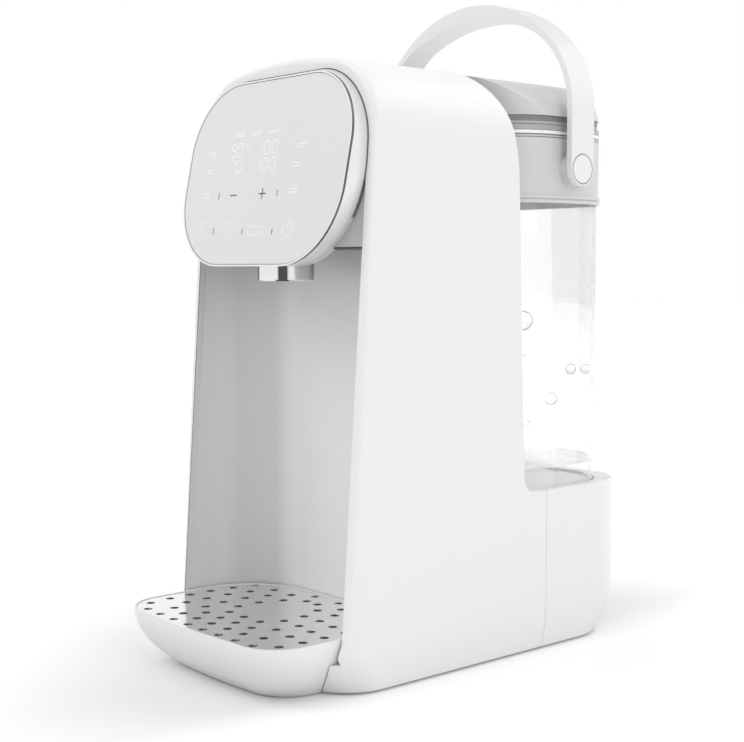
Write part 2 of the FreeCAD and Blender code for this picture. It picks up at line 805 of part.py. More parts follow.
def make_tank():
    skirt_low = deck_height - dock_recess + fit_gap
    outer = tank_block(0, skirt_low, collar_bottom + collar_lap)
    room = tank_block(tank_wall, tank_floor_height + tank_wall, above_all)
    under = tank_block(tank_wall, 0, tank_floor_height)
    tank = outer.cut(room).cut(under)
    boss = post(valve_radius + 5.0, tank_floor_height - 3.0, tank_floor_height, 0, valve_y)
    tank = joined([tank, boss])
    return tank.cut(post(valve_radius + fit_gap, 0, tank_floor_height + 10.0, 0, valve_y))


def make_collar():
    """Opaque collar that wraps the tank's rim and carries the handle pivots."""
    body = tank_block(-collar_skin, collar_bottom, collar_top)
    flange = tank_block(-collar_skin - flange_reach, collar_bottom, collar_bottom + flange_height)
    collar = joined([body, flange])
    groove_low = collar_bottom + flange_height / 2 - 0.4
    groove = tank_block(-collar_skin - 2 * flange_reach, groove_low, groove_low + 0.8)
    collar = collar.cut(groove.cut(tank_block(-collar_skin, 0, above_all)))
    boss_reach = handle_half - handle_thickness - fit_gap
    bosses = [cross_rod(pivot_boss_radius, tank_half - 1.0, boss_reach, pivot_y, pivot_height),
              cross_rod(pivot_boss_radius, -boss_reach, 1.0 - tank_half, pivot_y, pivot_height)]
    collar = joined([collar] + bosses)
    collar = collar.cut(tank_block(-fit_gap, 0, collar_bottom + collar_lap + fit_gap))
    collar = collar.cut(tank_block(collar_wall - collar_skin, 0, above_all))
    pin_start = pivot_pin_start()
    collar = collar.cut(cross_rod(pivot_radius, pin_start, far, pivot_y, pivot_height))
    return collar.cut(cross_rod(pivot_radius, -far, -pin_start, pivot_y, pivot_height))


def pivot_pin_start():
    """Inner end of a pivot pin, in the collar's wall."""
    return tank_half - collar_wall + collar_skin + 0.8


def make_rim_band():
    """Glossy band between the collar and the lid seal."""
    band = tank_block(-collar_skin, collar_top, band_top)
    return band.cut(tank_block(collar_wall - collar_skin, 0, above_all))


def make_lid_seal():
    seal = tank_block(seal_inset - collar_skin, band_top + fit_gap, lid_bottom)
    return seal.cut(tank_block(plug_inset(), 0, above_all))


def plug_inset():
    """Outline of the lid's plug, which drops inside the collar and carries the seal."""
    return collar_wall - collar_skin + fit_gap


def lid_dome(inset):
    """Block with the lid's plan outline and a rounded top edge, drawn in by inset on every side."""
    radius = tank_corner_radius + collar_skin - inset
    half = tank_half + collar_skin - inset
    corners = slot_corners(half, front_y, tank_rear_y + collar_skin - inset, radius, radius)
    top = lid_top - inset
    block = plan_block(corners, lid_bottom - lid_round / 2, top)
    top_edges = [edge for edge in block.Edges if all(abs(v.Z - top) < 0.01 for v in edge.Vertexes)]
    return block.makeFillet(lid_round - inset, top_edges)


def make_lid():
    """Domed lid with its plug; the front is cut to follow the rear edge of the roof."""
    dome = lid_dome(0).common(behind_column(lid_front_gap))
    dome = dome.common(box(-far, -far, lid_bottom, far, far, above_all))
    slope = math.tan(math.radians(shoulder_angle))
    shoulder_y = front_y + cowl_rear_reach - cowl_rear_lean * (shoulder_height - deck_height)
    front = shoulder_y - slope * (lid_bottom - shoulder_height) + lid_front_gap
    half = tank_half + collar_skin
    radius = tank_corner_radius + collar_skin
    dome = dome.common(front_rounding(half, radius, front, lid_bottom, above_all, slope))
    inside_plug = tank_block(plug_inset() + lid_wall, 0, above_all)
    room = lid_dome(lid_wall).common(inside_plug)
    plug = tank_block(plug_inset(), band_top - lid_plug_depth, lid_bottom + 1.0).cut(inside_plug)
    return joined([dome.cut(room), plug])


def make_valve_body():
    """Outlet valve cage clamped in the tank floor."""
    floor_top = tank_floor_height + tank_wall
    stub_low = deck_height - 9.0
    stub = post(valve_radius, stub_low, floor_top + 1.0, 0, valve_y)
    flange = post(valve_radius + 4.0, floor_top, floor_top + 1.6, 0, valve_y)
    cage = post(valve_radius, floor_top + 1.6, floor_top + cage_height, 0, valve_y)
    body = joined([stub, flange, cage])
    body = body.cut(post(valve_radius - 2.0, stub_low + 4.0, floor_top + cage_height - 2.0, 0, valve_y))
    body = body.cut(post(valve_radius - 4.0, 0, floor_top, 0, valve_y))
    window_low = floor_top + 2.6
    slit = box(-far, valve_y - 2.5, window_low, far, valve_y + 2.5, window_low + 8.0)
    cross_slit = box(-2.5, -far, window_low, 2.5, far, window_low + 8.0)
    return body.cut(slit).cut(cross_slit)


def plunger_seat():
    return deck_height - 5.0 + 2.6


def make_valve_plunger():
    """Plunger held off its seat by the dock's pin while the tank stands in the dock."""
    seat = plunger_seat()
    disc = post(valve_radius - 2.4, seat, seat + plunger_disc_height, 0, valve_y)
    stem = post(2.0, seat + 2.0, seat + 14.0, 0, valve_y)
    nose = post(2.4, seat - 5.0, seat + 1.0, 0, valve_y)
    return joined([disc, stem, nose])


def make_valve_spring():
    """Coil between the plunger's disc and the top of the cage, lofted through turned sections."""
    low = plunger_seat() + plunger_disc_height + fit_gap + spring_wire / 2
    high = tank_floor_height + tank_wall + cage_height - 2.0 - fit_gap - spring_wire / 2
    reach = valve_radius - 4.0
    sections = []
    steps = 12 * spring_turns
    for step in range(steps + 1):
        turn = 2 * math.pi * spring_turns * step / steps
        points = []
        for side in range(6):
            angle = math.pi / 3 * side
            radius = reach + spring_wire / 2 * math.cos(angle)
            z = low + (high - low) * step / steps + spring_wire / 2 * math.sin(angle)
            points.append(vec(radius * math.cos(turn), valve_y + radius * math.sin(turn), z))
        sections.append(Part.makePolygon(points + points[:1]))
    return Part.makeLoft(sections, True, True)


def make_dock_socket():
    """Cup under the deck that the tank's valve enters, with the pin that opens it."""
    low = deck_height - dock_recess - socket_depth
    top = deck_height - dock_recess
    cup = post(socket_radius, low, top, 0, valve_y)
    flange = post(socket_radius + 3.0, top - deck_thickness - 2.0, top - deck_thickness, 0, valve_y)
    cup = joined([cup, flange])
    cup = cup.cut(post(socket_radius - socket_wall, low + 2.0, above_all, 0, valve_y))
    pin_top = plunger_seat() - 5.0 - fit_gap
    pin = post(1.6, low + 1.0, pin_top, 0, valve_y)
    spout = post(hose_bore_radius + 1.2, low - spout_length, low + 1.0, spout_offset, valve_y)
    socket = joined([cup, pin, spout])
    return socket.cut(post(hose_bore_radius, low - spout_length - 1.0, low + 3.0, spout_offset, valve_y))


def make_dock_seal():
    top = deck_height - dock_recess - 2.0
    ring = post(socket_radius - socket_wall, top - 3.0, top, 0, valve_y)
    return ring.cut(post(valve_radius + fit_gap, 0, above_all, 0, valve_y))


# ---------------------------------------------------------------- handle
def arch_block(half, shoulder, top, low_y, high_y):
    """Two straight legs and a three-centred arch over them, filled down to below the legs' ends."""
    low = pivot_height - handle_width
    spring = handle_shoulder_height
    rise = top - spring
    crown = ((half - shoulder) ** 2 + rise ** 2 - shoulder ** 2) / (2 * (rise - shoulder))
    turn = math.atan2(spring - top + crown, half - shoulder)

    def on_shoulder(side, angle):
        x = half - shoulder + shoulder * math.cos(angle)
        return vec(side * x, low_y, spring + shoulder * math.sin(angle))

    def shoulder_arc(side, start, end):
        middle = on_shoulder(side, turn / 2)
        return Part.Arc(on_shoulder(side, start), middle, on_shoulder(side, end)).toShape()

    edges = [Part.makeLine(vec(half, low_y, low), on_shoulder(1, 0)),
             shoulder_arc(1, 0, turn),
             Part.Arc(on_shoulder(1, turn), vec(0, low_y, top), on_shoulder(-1, turn)).toShape(),
             shoulder_arc(-1, turn, 0),
             Part.makeLine(on_shoulder(-1, 0), vec(-half, low_y, low)),
             Part.makeLine(vec(-half, low_y, low), vec(half, low_y, low))]
    return prism(Part.Wire(edges), vec(0, high_y - low_y, 0))


def make_handle():
    """Strap handle: thin legs that thicken over the shoulders into the grip."""
    low_y = pivot_y - handle_width / 2
    high_y = pivot_y + handle_width / 2
    strap = arch_block(handle_half, handle_shoulder_radius, handle_top, low_y, high_y)
    opening_half = handle_half - handle_thickness
    opening_radius = handle_shoulder_radius - handle_thickness
    opening_top = handle_top - grip_thickness
    strap = strap.cut(arch_block(opening_half, opening_radius, opening_top, low_y - 1.0, high_y + 1.0))
    end_low = pivot_height - handle_width / 2
    leg_shape = [(low_y - 0.01, end_low, handle_width / 2), (high_y + 0.01, end_low, handle_width / 2),
                 (high_y + 0.01, above_all + far, 0), (low_y - 0.01, above_all + far, 0)]
    strap = strap.common(side_block(leg_shape, far))
    strap = strap.cut(cross_rod(pivot_radius + running_gap, -far, far, pivot_y, pivot_height))
    inner = handle_half - pivot_cap_depth
    strap = strap.cut(cross_rod(pivot_cap_radius + 0.15, inner, far, pivot_y, pivot_height))
    return strap.cut(cross_rod(pivot_cap_radius + 0.15, -far, -inner, pivot_y, pivot_height))


def make_pivot_pins():
    """Pins from the collar's bosses through the handle's legs."""
    low_x = pivot_pin_start()
    high_x = handle_half - pivot_cap_depth - fit_gap
    return Part.makeCompound([cross_rod(pivot_radius, low_x, high_x, pivot_y, pivot_height),
                              cross_rod(pivot_radius, -high_x, -low_x, pivot_y, pivot_height)])


def make_pivot_caps():
    low_x = handle_half - pivot_cap_depth
    caps = []
    for start in (low_x, -handle_half):
        caps.append(cross_rod(pivot_cap_radius, start, start + pivot_cap_depth, pivot_y, pivot_height))
    return Part.makeCompound(caps)


# ---------------------------------------------------------------- column and water path
def make_column_cover():
    """Rear wall of the column, just inside the edges of the side walls."""
    slab = behind_column(-column_inset - shell_wall).cut(behind_column(-column_inset))
    slab = slab.common(box(-far, -far, deck_height, far, far, above_all))
    return slab.common(arch(shell_wall + fit_gap, 0, far, -far))


def make_inner_frame():
    """Upright frame between niche and tank that carries heater, pump and board."""
    half = niche_half - 14.0
    top = ceiling_top + 60.0
    plate = box(-half, frame_y, plate_top, half, frame_y + 2.5, top)
    window = box(-half + 16.0, frame_y - 1.0, ceiling_top + 10.0, half - 16.0, frame_y + 4.0, top - 12.0)
    foot = box(-half, frame_y, plate_top, half, frame_y + 12.0, plate_top + 2.5)
    hose_window = box(-half + 12.0, frame_y - 1.0, plate_top + 24.0, -8.0, frame_y + 4.0, plate_top + 84.0)
    ribs = []
    for x in (-half, half - 2.5):
        ribs.append(box(x, frame_y - 10.0, plate_top, x + 2.5, frame_y + 2.5, top))
    shelf = box(-half, niche_back_y + liner_wall, niche_height, half, frame_y + 2.5, ceiling_top)
    shelf = shelf.cut(post(heater_radius + 1.0, 0, above_all, 0, heater_y))
    return joined([plate.cut(window).cut(hose_window), foot, shelf] + ribs)


def make_heater():
    """Flow-through heater: tube body with end caps and cooling bands."""
    top = heater_bottom + heater_length
    body = post(heater_radius - heater_step, heater_bottom, top, 0, heater_y)
    bands = [body]
    middle = heater_bottom + (heater_length - heater_band) / 2
    for low in (heater_bottom, middle, top - heater_band):
        bands.append(post(heater_radius, low, low + heater_band, 0, heater_y))
    bands.append(post(hose_radius - 0.6, heater_bottom - port_length, heater_bottom + 1.0, 0, heater_y))
    bands.append(post(hose_radius - 0.6, top - 1.0, top + port_length, 0, heater_y))
    heater = joined(bands)
    return heater.cut(post(hose_bore_radius - 1.0, 0, above_all, 0, heater_y))


def make_heater_clips():
    """Two saddles that hold the heater to the frame."""
    clips = []
    last_low = heater_bottom + heater_length - clip_margin - clip_height
    for low in (heater_bottom + clip_margin, last_low):
        ring = post(heater_radius + heater_step, low, low + clip_height, 0, heater_y)
        pad = box(-clip_height, heater_y, low, clip_height, frame_y, low + clip_height)
        clip = joined([ring, pad]).cut(post(heater_radius - heater_step, 0, above_all, 0, heater_y))
        clips.append(clip)
    return Part.makeCompound(clips)


def pump_place():
    return -niche_half * 0.5, heater_y


def pump_port(side):
    """Top of one of the pump's two ports."""
    x, y = pump_place()
    return x + side * pump_port_offset, y, plate_top + pump_lift + pump_length + port_length


def make_pump():
    x, y = pump_place()
    low = plate_top + pump_lift
    motor = post(pump_radius, low, low + pump_length * 0.6, x, y)
    head = post(pump_radius + 2.0, low + pump_length * 0.6, low + pump_length, x, y)
    pieces = [motor, head]
    for side in (-1, 1):
        port_x, port_y, port_top = pump_port(side)
        pieces.append(post(hose_radius - 0.6, low + pump_length, port_top, port_x, port_y))
    return joined(pieces)


def make_pump_mount():
    """Rubber cup that the pump stands in."""
    x, y = pump_place()
    top = plate_top + pump_cup_height
    cup = post(pump_radius + 3.0, plate_top, top, x, y)
    return cup.cut(post(pump_radius, plate_top + pump_lift, top + 4.0, x, y))


def hose(points, radius_share=0.45):
    """Tube along straight runs joined by tangent arcs."""
    places = [vec(*point) for point in points]
    edges = []
    start = places[0]
    for before, here, after in zip(places, places[1:], places[2:]):
        inward = before - here
        onward = after - here
        reach = radius_share * min(inward.Length, onward.Length)
        inward.normalize()
        onward.normalize()
        half_angle = inward.getAngle(onward) / 2
        radius = reach * math.tan(half_angle)
        bisector = (inward + onward).normalize()
        summit = here + bisector * (radius / math.sin(half_angle) - radius)
        arc_start = here + inward * reach
        arc_end = here + onward * reach
        edges.append(Part.makeLine(start, arc_start))
        edges.append(Part.Arc(arc_start, summit, arc_end).toShape())
        start = arc_end
    edges.append(Part.makeLine(start, places[-1]))
    spine = Part.Wire(edges)
    heading = places[1] - places[0]
    circle = Part.Wire([Part.makeCircle(hose_radius, places[0], heading)])
    return spine.makePipeShell([circle], True, True)


def make_suction_hose():
    """From the dock socket to the pump's inlet."""
    start_z = deck_height - dock_recess - socket_depth - spout_length
    port_x, port_y, port_top = pump_port(-1)
    run_z = start_z - 20.0
    return hose([(spout_offset, valve_y, start_z), (spout_offset, valve_y, run_z),
                 (-20.0, (valve_y + port_y) / 2, run_z), (port_x, port_y, port_top + 22.0),
                 (port_x, port_y, port_top)])


def make_pressure_hose():
    """From the pump's outlet to the foot of the heater."""
    port_x, port_y, port_top = pump_port(1)
    heater_foot = heater_bottom - port_length
    return hose([(port_x, port_y, port_top), (port_x, port_y, port_top + 16.0),
                 (-8.0, port_y, heater_foot - 26.0), (0, heater_y, heater_foot - 16.0),
                 (0, heater_y, heater_foot)])


def make_outlet_hose():
    """From the top of the heater over the niche to the nozzle."""
    heater_top = heater_bottom + heater_length + port_length
    nozzle_top = ceiling_top + 14.0
    crest = nozzle_top + 22.0
    return hose([(0, heater_y, heater_top), (0, heater_y, crest), (0, nozzle_y, crest),
                 (0, nozzle_y, nozzle_top)])


def board_corner():
    """Lower inner corner of the control board's front face, which carries its parts."""
    return pcb_inner_edge, frame_y - pcb_standoff, plate_top + pcb_rise


def make_control_board():
    x, y, low = board_corner()
    return box(x, y, low, x + pcb_width, y + board_thickness, low + pcb_height)


def make_board_parts():
    """Relay, transformer, capacitor and plug on the control board."""
    x, face, low = board_corner()
    relay = box(x + pcb_margin, face - relay_depth, low + pcb_margin,
                x + pcb_margin + relay_width, face, low + pcb_margin + relay_width)
    block_x = x + pcb_width - pcb_margin
    block = box(block_x - relay_width * 0.8, face - relay_depth * 0.8, low + pcb_margin,
                block_x, face, low + pcb_margin + relay_width * 0.8)
    can = Part.makeCylinder(can_radius, can_height,
                            vec(x + pcb_margin + can_radius + 2.0, face, low + pcb_height - 4 * can_radius),
                            vec(0, -1, 0))
    plug_top = low + pcb_height - pcb_margin
    plug = box(block_x - relay_width, face - relay_depth * 0.6, plug_top - 2 * can_radius,
               block_x, face, plug_top)
    return Part.makeCompound([relay, block, can, plug])


def make_board_standoffs():
    x, y, low = board_corner()
    back = y + board_thickness
    posts = []
    for post_x in (x + pcb_margin, x + pcb_width - pcb_margin):
        for post_z in (low + pcb_margin, low + pcb_height - pcb_margin):
            posts.append(Part.makeCylinder(standoff_radius, frame_y - back, vec(post_x, back, post_z),
                                           vec(0, 1, 0)))
    return Part.makeCompound(posts)


def make_power_inlet():
    """Two-pin socket in the back of the base."""
    half = inlet_width / 2 - fit_gap
    low = inlet_middle_height - inlet_height / 2 + fit_gap
    high = inlet_middle_height + inlet_height / 2 - fit_gap
    shell = box(-half, rear_y - inlet_depth, low, half, rear_y - 0.2, high)
    mouth = inlet_mouth(half - 3.5, (high - low) / 2 - 3.0)
    back = box(-half - 2.0, rear_y - inlet_depth, low - 2.0, half + 2.0, rear_y - shell_wall, high + 2.0)
    inlet = joined([shell, back]).cut(mouth)
    pins = []
    for side in (-1, 1):
        pins.append(Part.makeCylinder(1.2, inlet_depth - 5.0,
                                      vec(side * 5.2, rear_y - inlet_depth + 1.0, inlet_middle_height),
                                      vec(0, 1, 0)))
    return joined([inlet] + pins)


def inlet_mouth(half, reach):
    corners = slot_corners(half, inlet_middle_height - reach, inlet_middle_height + reach,
                           reach * 0.9, reach * 0.9)
    start_y = rear_y - inlet_depth + 3.0
    return prism(rounded_wire(corners, on_front(start_y)), vec(0, inlet_depth, 0))


# ---------------------------------------------------------------- build and export
makers = {
    "body_cowl": make_cowl,
    "dock_cover": make_dock_cover,
    "base_plate": make_base_plate,
    "rubber_feet": make_feet,
    "base_screws": make_screws,
    "screw_posts": make_screw_posts,
    "niche_liner": make_niche_liner,
    "head_ceiling": make_head_ceiling,
    "head_pod": make_pod,
    "panel_trim_ring": make_trim_ring,
    "control_glass": make_glass,
    "display_board": make_display_board,
    "display_module": make_display_module,
    "nozzle_sleeve": make_nozzle_sleeve,
    "nozzle_outlet": make_nozzle_outlet,
    "drip_tray": make_tray,
    "drip_grille": make_grille,
    "water_tank": make_tank,
    "tank_collar": make_collar,
    "rim_band": make_rim_band,
    "lid_seal": make_lid_seal,
    "tank_lid": make_lid,
    "valve_body": make_valve_body,
    "valve_plunger": make_valve_plunger,
    "valve_spring": make_valve_spring,
    "dock_socket": make_dock_socket,
    "dock_seal": make_dock_seal,
    "carry_handle": make_handle,
    "pivot_pins": make_pivot_pins,
    "pivot_caps": make_pivot_caps,
    "column_cover": make_column_cover,
    "inner_frame": make_inner_frame,
    "flow_heater": make_heater,
    "heater_clips": make_heater_clips,
    "water_pump": make_pump,
    "pump_mount": make_pump_mount,
    "suction_hose": make_suction_hose,
    "pressure_hose": make_pressure_hose,
    "outlet_hose": make_outlet_hose,
    "control_board": make_control_board,
    "board_parts": make_board_parts,
    "board_standoffs": make_board_standoffs,
    "power_inlet": make_power_inlet,
}

os.makedirs("parts", exist_ok=True)
for name, maker in makers.items():
    shape = maker()
    shape.exportStep("parts/" + name + ".step")
    print(name, len(shape.Solids), round(shape.Volume / 1000, 2), "cm3", shape.isValid())
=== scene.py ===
import bmesh
import bpy
import math
from mathutils import Matrix, Vector
from mathutils.bvhtree import BVHTree


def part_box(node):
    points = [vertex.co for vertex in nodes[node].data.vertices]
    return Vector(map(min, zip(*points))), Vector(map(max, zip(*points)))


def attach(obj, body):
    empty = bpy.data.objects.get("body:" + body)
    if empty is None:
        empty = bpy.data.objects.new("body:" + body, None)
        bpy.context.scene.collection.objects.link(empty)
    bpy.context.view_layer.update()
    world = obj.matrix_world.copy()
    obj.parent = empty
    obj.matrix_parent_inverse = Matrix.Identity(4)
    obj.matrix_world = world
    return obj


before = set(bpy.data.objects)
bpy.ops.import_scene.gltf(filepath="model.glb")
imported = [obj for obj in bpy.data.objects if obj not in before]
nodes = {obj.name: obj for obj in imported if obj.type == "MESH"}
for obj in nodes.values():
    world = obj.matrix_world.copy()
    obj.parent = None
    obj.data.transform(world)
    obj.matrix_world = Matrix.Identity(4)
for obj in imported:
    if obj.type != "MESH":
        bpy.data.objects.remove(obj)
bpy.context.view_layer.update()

MM = 0.001
UP = (0.0, 0.0, 1.0)
RIGHT = (1.0, 0.0, 0.0)
LEFT = (-1.0, 0.0, 0.0)
FRONT = (0.0, -1.0, 0.0)
BESIDE_X = (0.0, 1.0, 1.0)
BESIDE_Z = (1.0, 1.0, 0.0)


def middle(name):
    """The middle of a node's box."""
    low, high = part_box(name)
    return tuple((low + high) / 2)


PANEL_LEAN = math.radians(11.9)
PANEL_FACING = (0.0, -math.cos(PANEL_LEAN), math.sin(PANEL_LEAN))
GLASS_THICKNESS = 1.0 * MM
# The side walls' front edges lean: they lie where the step along BEHIND_LIP is LIP_PLACE.
BEHIND_LIP = (0.0, 1.0, -0.0695)
LIP_PLACE = -96.5 * MM
TANK_AXIS = middle("rim_band")
HANDLE_PIVOT = middle("pivot_pins")
# Direction across which the nozzle's painted reflections run.
NOZZLE_REFLECTIONS_ACROSS = (0.655, 0.756, 0.0)


# ---------------------------------------------------------------- camera
CAMERA_PLACE = Vector((0.62267, -0.54746, 0.22953))
CAMERA_AZIMUTH = math.radians(49.096)
CAMERA_PITCH = math.radians(4.354)
CAMERA_ROLL = math.radians(-0.07)
CAMERA_LENS = 66.39


def make_camera():
    data = bpy.data.cameras.new("camera")
    data.lens = CAMERA_LENS
    data.sensor_width = 36.0
    data.clip_start = 0.01
    data.clip_end = 50.0
    camera = bpy.data.objects.new("camera", data)
    heading = Vector((-math.sin(CAMERA_AZIMUTH) * math.cos(CAMERA_PITCH),
                      math.cos(CAMERA_AZIMUTH) * math.cos(CAMERA_PITCH),
                      -math.sin(CAMERA_PITCH)))
    turn = heading.to_track_quat("-Z", "Y").to_matrix().to_4x4()
    camera.matrix_world = Matrix.Translation(CAMERA_PLACE) @ turn @ Matrix.Rotation(CAMERA_ROLL, 4, "Z")
    bpy.context.scene.collection.objects.link(camera)
    bpy.context.scene.camera = camera


# ---------------------------------------------------------------- material helpers
WALL_OFFSET = 5 * MM
TINT_STOPS = (0.3, 0.7)


class Shader:
    """A node tree with short calls for the nodes that the materials share."""

    def __init__(self, name):
        self.name = name
        self.material = bpy.data.materials.new(name)
        self.material.use_nodes = True
        self.tree = self.material.node_tree
        self.surface = self.tree.nodes["Principled BSDF"]
        coordinates = self.tree.nodes.new("ShaderNodeTexCoord")
        self.place = coordinates.outputs["Object"]
        self.normal = coordinates.outputs["Normal"]

    def set(self, **values):
        for label, value in values.items():
            self.surface.inputs[label.replace("_", " ")].default_value = value
        return self

    def link(self, output, target):
        self.tree.links.new(output, target)

    def stretched(self, scale):
        mapping = self.tree.nodes.new("ShaderNodeMapping")
        mapping.inputs["Scale"].default_value = scale
        self.link(self.place, mapping.inputs["Vector"])
        return mapping.outputs["Vector"]

    def noise(self, scale, detail=3.0, stretch=None):
        node = self.tree.nodes.new("ShaderNodeTexNoise")
        node.inputs["Scale"].default_value = scale
        node.inputs["Detail"].default_value = detail
        self.link(self.stretched(stretch) if stretch else self.place, node.inputs["Vector"])
        return node.outputs["Fac"]

    def vector(self, operation, first, second=None):
        """One vector operation; second is a fixed vector or another node's output."""
        node = self.tree.nodes.new("ShaderNodeVectorMath")
        node.operation = operation
        self.link(first, node.inputs[0])
        if isinstance(second, tuple):
            node.inputs[1].default_value = second
        elif second is not None:
            self.link(second, node.inputs[1])
        return node.outputs["Value" if operation in ("DOT_PRODUCT", "LENGTH") else "Vector"]

    def share(self, value, low, high):
        """Zero where the value is at low, one where it is at high, and held beyond both."""
        node = self.tree.nodes.new("ShaderNodeMapRange")
        node.inputs["From Min"].default_value = low
        node.inputs["From Max"].default_value = high
        self.link(value, node.inputs["Value"])
        return node.outputs["Result"]

    def spread(self, factor, low, high):
        """Low where the factor is zero, high where it is one."""
        node = self.tree.nodes.new("ShaderNodeMapRange")
        node.inputs["To Min"].default_value = low
        node.inputs["To Max"].default_value = high
        self.link(factor, node.inputs["Value"])
        return node.outputs["Result"]

    def joined(self, operation, first, second):
        """The product, sum, lesser or greater of two factors."""
        node = self.tree.nodes.new("ShaderNodeMath")
        node.operation = operation
        self.link(first, node.inputs[0])
        self.link(second, node.inputs[1])
        return node.outputs[0]

    def facing(self, direction, low, high):
        """How far the surface faces a fixed direction of the object, from low to high."""
        return self.share(self.vector("DOT_PRODUCT", self.normal, direction), low, high)

    def along(self, direction, low, high):
        """How far along a fixed direction of the object a place lies, from low to high in metres."""
        return self.share(self.vector("DOT_PRODUCT", self.place, direction), low, high)

    def upward(self):
        """Zero where the surface looks straight down, half where it is upright, one straight up."""
        return self.facing(UP, -1.0, 1.0)

    def height(self, low, high):
        return self.along(UP, low, high)

    def off_axis(self, centre, beside):
        """The step from an axis through the centre; beside is BESIDE_X or BESIDE_Z."""
        return self.vector("MULTIPLY", self.vector("SUBTRACT", self.place, centre), beside)

    def from_axis(self, centre, beside, low, high):
        """Distance from that axis, from low to high in metres."""
        return self.share(self.vector("LENGTH", self.off_axis(centre, beside)), low, high)

    def outward(self, centre):
        """Zero where a wall faces an upright axis through the centre, one where it faces away.

        A wall whose plane lies within WALL_OFFSET of the axis counts as in between.
        """
        offset = self.vector("DOT_PRODUCT", self.off_axis(centre, BESIDE_Z), self.normal)
        return self.share(offset, -WALL_OFFSET, WALL_OFFSET)

    def edge_on(self):
        """Zero where the surface faces the viewer, one where it is seen edge on."""
        return self.tree.nodes.new("ShaderNodeLayerWeight").outputs["Facing"]

    def greys(self, factor, stops):
        """The grey for each place of a factor, from (place, grey) stops in rising order."""
        ramp = self.tree.nodes.new("ShaderNodeValToRGB")
        elements = ramp.color_ramp.elements
        while len(elements) < len(stops):
            elements.new(1.0)
        for element, (place, value) in zip(elements, stops):
            element.position = place
            element.color = (value, value, value, 1)
        self.link(factor, ramp.inputs["Fac"])
        return ramp.outputs["Color"]

    def mixed(self, factor, first, second):
        """The first colour where the factor is zero, the second where it is one."""
        node = self.tree.nodes.new("ShaderNodeMix")
        node.data_type = "RGBA"
        sockets = {socket.identifier: socket for socket in (*node.inputs, *node.outputs)}
        self.link(factor, sockets["Factor_Float"])
        self.link(first, sockets["A_Color"])
        self.link(second, sockets["B_Color"])
        return sockets["Result_Color"]

    def colour(self, output):
        self.link(output, self.surface.inputs["Base Color"])

    def bands(self, factor, stops):
        self.colour(self.greys(factor, stops))

    def tint(self, factor, low, high):
        """One colour for low values of a factor and another for high ones, blended in between."""
        ramp = self.tree.nodes.new("ShaderNodeValToRGB")
        start, end = ramp.color_ramp.elements
        start.position, end.position = TINT_STOPS
        start.color = (*low, 1)
        end.color = (*high, 1)
        self.link(factor, ramp.inputs["Fac"])
        self.colour(ramp.outputs["Color"])

    def rough(self, factor, low, high):
        self.link(self.spread(factor, low, high), self.surface.inputs["Roughness"])

    def bump(self, factor, strength, distance):
        node = self.tree.nodes.new("ShaderNodeBump")
        node.inputs["Strength"].default_value = strength
        node.inputs["Distance"].default_value = distance
        self.link(factor, node.inputs["Height"])
        self.link(node.outputs["Normal"], self.surface.inputs["Normal"])

    def pass_light(self, seen, shadow):
        """Let a share of what is seen, and a share of shadow light, straight through."""
        path = self.tree.nodes.new("ShaderNodeLightPath")
        solid = self.spread(path.outputs["Is Shadow Ray"], 1.0 - seen, 1.0 - shadow)
        self.link(solid, self.surface.inputs["Alpha"])


def grey(value):
    return (value, value, value)


# ---------------------------------------------------------------- materials
PLASTIC_IOR = 1.5
TANK_IOR = 1.4
DROP_IOR = 1.12
DRIFT_SCALE = 14.0
GLOSS_SCALE = 60.0
GRAIN_SCALE = 2600.0
GRAIN_DEPTH = 0.05 * MM
NICHE_GRAIN_DEPTH = 0.04 * MM
WHITE_ROUGH = (0.30, 0.36)
# Collar: painted light on the inside, where it faces the water, and its own grey outside.
COLLAR_INSIDE_PAINTED_LIGHT = 0.92
COLLAR_OUTSIDE = 0.655

# All greys are stops of (place, grey). White parts have painted shade by how far they look up, as upward()
# gives it.
# Shell: painted shade, darker where a face looks down and lightest where it looks up.
SHELL_PAINTED_SHADE = ((0.0, 0.70), (0.35, 0.82), (0.48, 0.86), (0.60, 0.86), (0.90, 0.95))
# Strap: painted shade, lighter where a face looks down and darker where it looks up.
STRAP_PAINTED_SHADE = ((0.0, 0.92), (0.48, 0.85), (0.60, 0.84), (0.95, 0.78))
# Inner face of the left side wall from its front edge back: a painted shadow line, then the niche's grey.
CHEEK_SHADOW_LINE_AND_GREY = ((0.0, 0.30), (0.02, 0.30), (0.04, 0.66), (1.0, 0.66))
CHEEK_DEPTH = 20 * MM
CHEEK_FROM_MIDDLE = (30 * MM, 40 * MM)
CHEEK_TURN = (0.5, 0.7)
# Handle cap from its middle out, with a painted shadow line round its rim.
CAP_RIM_PAINTED_SHADOW = ((0.0, 0.86), (0.82, 0.86), (0.84, 0.30), (1.0, 0.30))
CAP_REACH = 10 * MM
# Head from 30 mm before the side walls' front edge to 2 mm behind it: painted shade that darkens towards
# the seam, and a painted shadow line in the seam at the end.
HEAD_PAINTED_SHADE = ((0.0, 0.87), (0.75, 0.86), (0.905, 0.66), (0.92, 0.17), (1.0, 0.12))
HEAD_BEFORE_LIP = 30 * MM
HEAD_BEHIND_LIP = 2 * MM
# The painted shadow line in the seam fades in between these heights; below them the painted shade stops at
# the next factor.
SEAM_SHADOW_HEIGHTS = (254 * MM, 264 * MM)
SEAM_SHADOW_SHOWS_FROM = 0.90
# Niche by how far it faces the front: side wall at 0, back wall at 1. Painted shade: darker in the rounded
# corner, lightest on the back wall.
NICHE_PAINTED_SHADE = ((0.0, 0.70), (0.30, 0.69), (0.55, 0.60), (0.88, 0.62), (0.97, 0.77), (1.0, 0.81))
